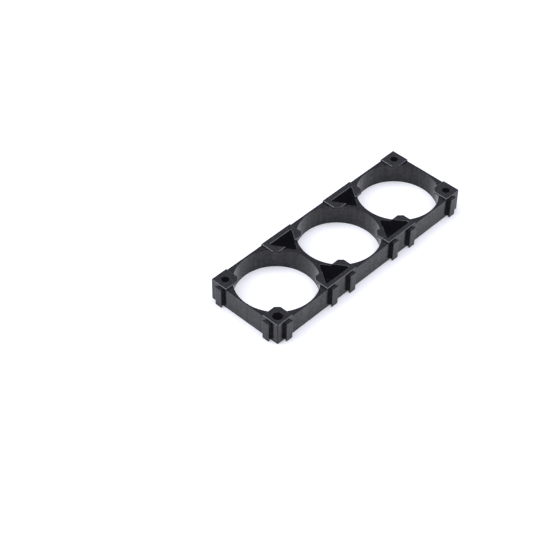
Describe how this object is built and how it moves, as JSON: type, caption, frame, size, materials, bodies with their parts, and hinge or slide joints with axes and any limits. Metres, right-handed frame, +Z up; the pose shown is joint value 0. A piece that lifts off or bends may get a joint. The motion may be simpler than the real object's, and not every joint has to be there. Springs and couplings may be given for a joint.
{
  "type": "battery cell holder bracket",
  "caption": "Flat row of round bores that holds cylindrical cells on a fixed pitch, with corner stop tabs and dovetail ribs and slots to join it to more of its kind.",
  "frame": {"origin": "centre of the middle cell bore, in the plane of the open face", "axes": "+X along the row of cells, towards the short side with slots; +Y towards the long side with slots; +Z up, from the open face to the face with the tabs"},
  "size_m": [0.105, 0.0358, 0.0098],
  "materials": {
    "charcoal_plastic": "fine matt moulded surface"
  },
  "bodies": {
    "root": {"cell_holder_bracket": "charcoal_plastic"}
  },
  "joints": []
}
